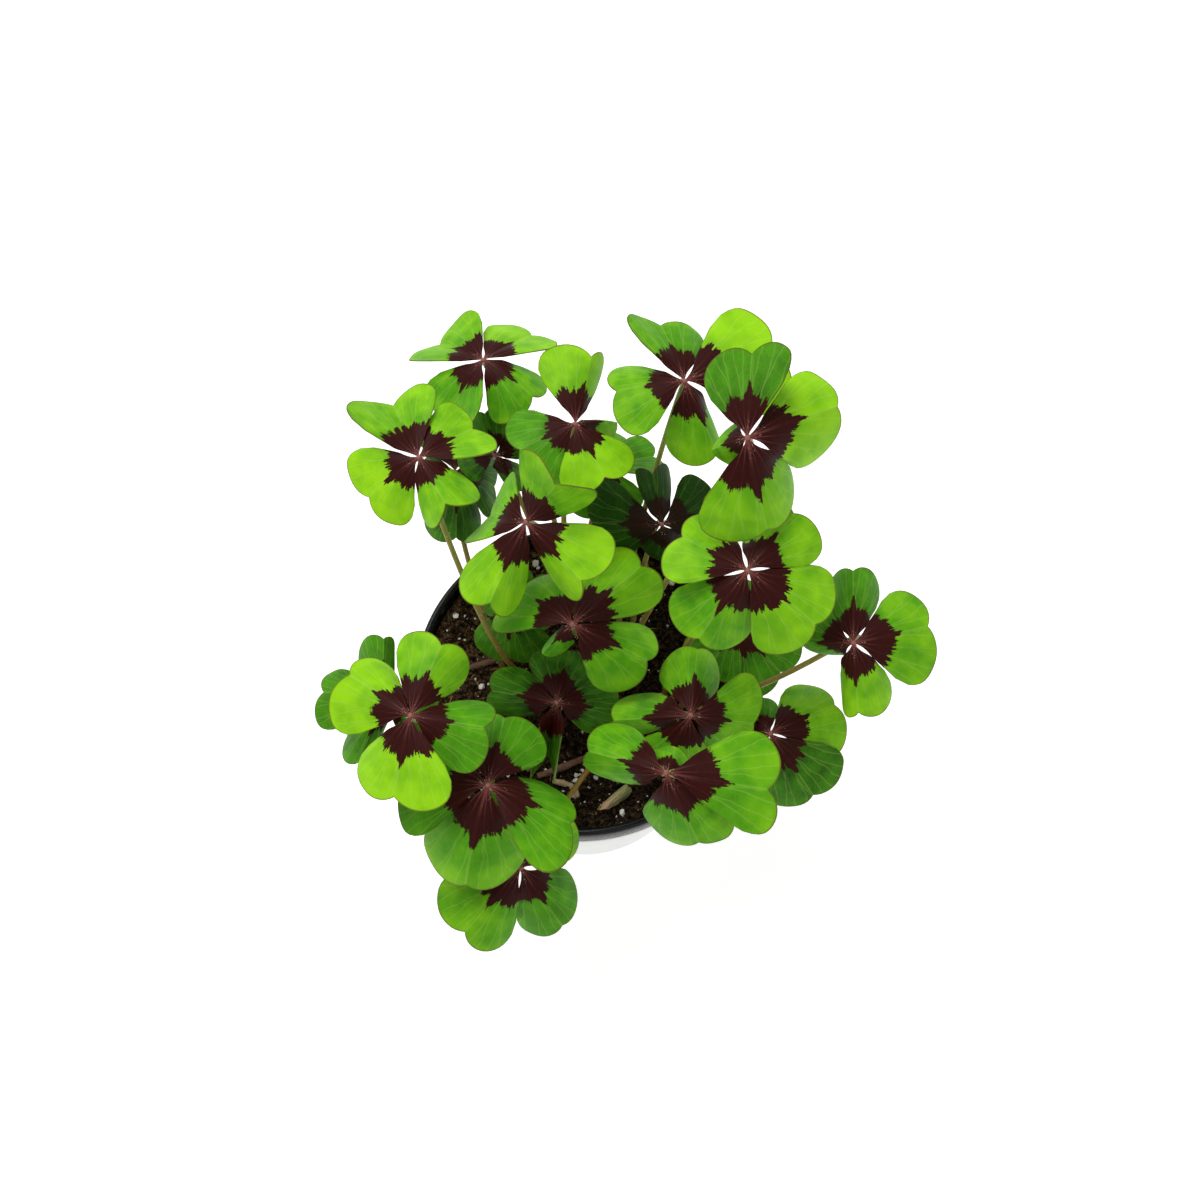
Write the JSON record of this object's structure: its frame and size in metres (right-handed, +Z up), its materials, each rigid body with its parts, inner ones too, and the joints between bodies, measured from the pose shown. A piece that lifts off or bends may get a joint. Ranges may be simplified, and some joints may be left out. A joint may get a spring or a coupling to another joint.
{
  "type": "potted iron cross oxalis",
  "caption": "Bushy houseplant with four-part green leaves marked dark at the centre, on thin stalks, in a black grow pot inside a white tapered cover pot.",
  "frame": {"origin": "centre of the cover pot's foot, on the ground", "axes": "+Z up along the pots, -Y toward the front, where the picture looks from"},
  "size_m": [0.1996, 0.2026, 0.2208],
  "materials": {
    "leaf_green": null,
    "leaf_stalk": "living stalk, brown to olive green, slightly translucent",
    "bulb": "scaly bulb skin, buried",
    "dead_stem": "dead brown stem",
    "young_leaf": "pale young leaf",
    "dry_straw": "dry tan leaf and stem",
    "peat": "peat potting soil with white perlite",
    "black_plastic": "satin black moulded plastic",
    "white_plastic": "smooth white plastic"
  },
  "bodies": {
    "root": {"cover_pot": "white_plastic", "grow_pot": "black_plastic", "leaf_01_blade": "leaf_green", "leaf_01_stalk": "leaf_stalk", "leaf_02_blade": "leaf_green", "leaf_02_stalk": "leaf_stalk", "leaf_03_blade": "leaf_green", "leaf_03_stalk": "leaf_stalk", "leaf_04_blade": "leaf_green", "leaf_04_stalk": "leaf_stalk", "leaf_05_blade": "leaf_green", "leaf_05_stalk": "leaf_stalk", "leaf_06_blade": "leaf_green", "leaf_06_stalk": "leaf_stalk", "leaf_07_blade": "leaf_green", "leaf_07_stalk": "leaf_stalk", "leaf_08_blade": "leaf_green", "leaf_08_stalk": "leaf_stalk", "leaf_09_blade": "leaf_green", "leaf_09_stalk": "leaf_stalk", "leaf_10_blade": "leaf_green", "leaf_10_stalk": "leaf_stalk", "leaf_11_blade": "leaf_green", "leaf_11_stalk": "leaf_stalk", "leaf_12_blade": "leaf_green", "leaf_12_stalk": "leaf_stalk", "leaf_13_blade": "leaf_green", "leaf_13_stalk": "leaf_stalk", "leaf_14_blade": "leaf_green", "leaf_14_stalk": "leaf_stalk", "leaf_15_blade": "leaf_green", "leaf_15_stalk": "leaf_stalk", "leaf_16_blade": "leaf_green", "leaf_16_stalk": "leaf_stalk", "leaf_17_blade": "leaf_green", "leaf_17_stalk": "leaf_stalk", "leaf_18_blade": "leaf_green", "leaf_18_stalk": "leaf_stalk", "leaf_19_blade": "leaf_green", "leaf_19_stalk": "leaf_stalk", "leaf_20_blade": "leaf_green", "leaf_20_stalk": "leaf_stalk", "leaf_21_blade": "leaf_green", "leaf_21_stalk": "leaf_stalk", "leaf_22_blade": "leaf_green", "leaf_22_stalk": "leaf_stalk", "leaf_23_blade": "leaf_green", "leaf_23_stalk": "leaf_stalk", "bulb_front": "bulb", "bulb_left": "bulb", "bulb_side": "bulb", "bulb_back": "bulb", "bulb_middle": "bulb", "bulb_right": "bulb", "soil": "peat", "young_leaf": "young_leaf", "dead_stem_1": "dead_stem", "dead_stem_2": "dead_stem", "dry_stem": "dry_straw", "withered_leaf": "dry_straw"}
  },
  "joints": []
}
